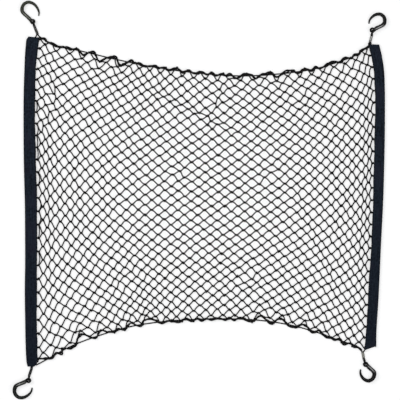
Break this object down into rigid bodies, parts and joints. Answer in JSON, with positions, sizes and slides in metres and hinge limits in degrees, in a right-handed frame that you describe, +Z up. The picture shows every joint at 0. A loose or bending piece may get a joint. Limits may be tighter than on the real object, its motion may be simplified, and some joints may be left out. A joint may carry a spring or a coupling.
{
  "type": "cargo net",
  "caption": "Elastic cargo net lying flat, a knotted diamond mesh between two folded webbing bands, with an open wire hook at each corner.",
  "frame": {"origin": "middle of the footprint of net and hooks, on the surface that the net lies on", "axes": "+X across the net from the left band to the right band, +Y along the bands toward the top edge, +Z up off the surface"},
  "size_m": [0.8984, 0.9554, 0.0108],
  "materials": {
    "twine": "matt braided polypropylene twine",
    "webbing": "ribbed woven webbing, matt with a faint sheen",
    "elastic": "braided cover over rubber, matt",
    "hook_steel": "dark gunmetal coating, satin",
    "ferrule_alloy": "dull crimped alloy"
  },
  "bodies": {
    "root": {"net_panel": "twine", "band_left": "webbing", "band_right": "webbing", "edge_cord_top": "elastic", "edge_cord_bottom": "elastic", "ferrule_top_left": "ferrule_alloy", "band_cord_top_left": "elastic", "hook_loop_top_left": "elastic", "hook_top_left": "hook_steel", "ferrule_top_right": "ferrule_alloy", "band_cord_top_right": "elastic", "hook_loop_top_right": "elastic", "hook_top_right": "hook_steel", "ferrule_bottom_left": "ferrule_alloy", "band_cord_bottom_left": "elastic", "hook_loop_bottom_left": "elastic", "hook_bottom_left": "hook_steel", "ferrule_bottom_right": "ferrule_alloy", "band_cord_bottom_right": "elastic", "hook_loop_bottom_right": "elastic", "hook_bottom_right": "hook_steel"}
  },
  "joints": []
}
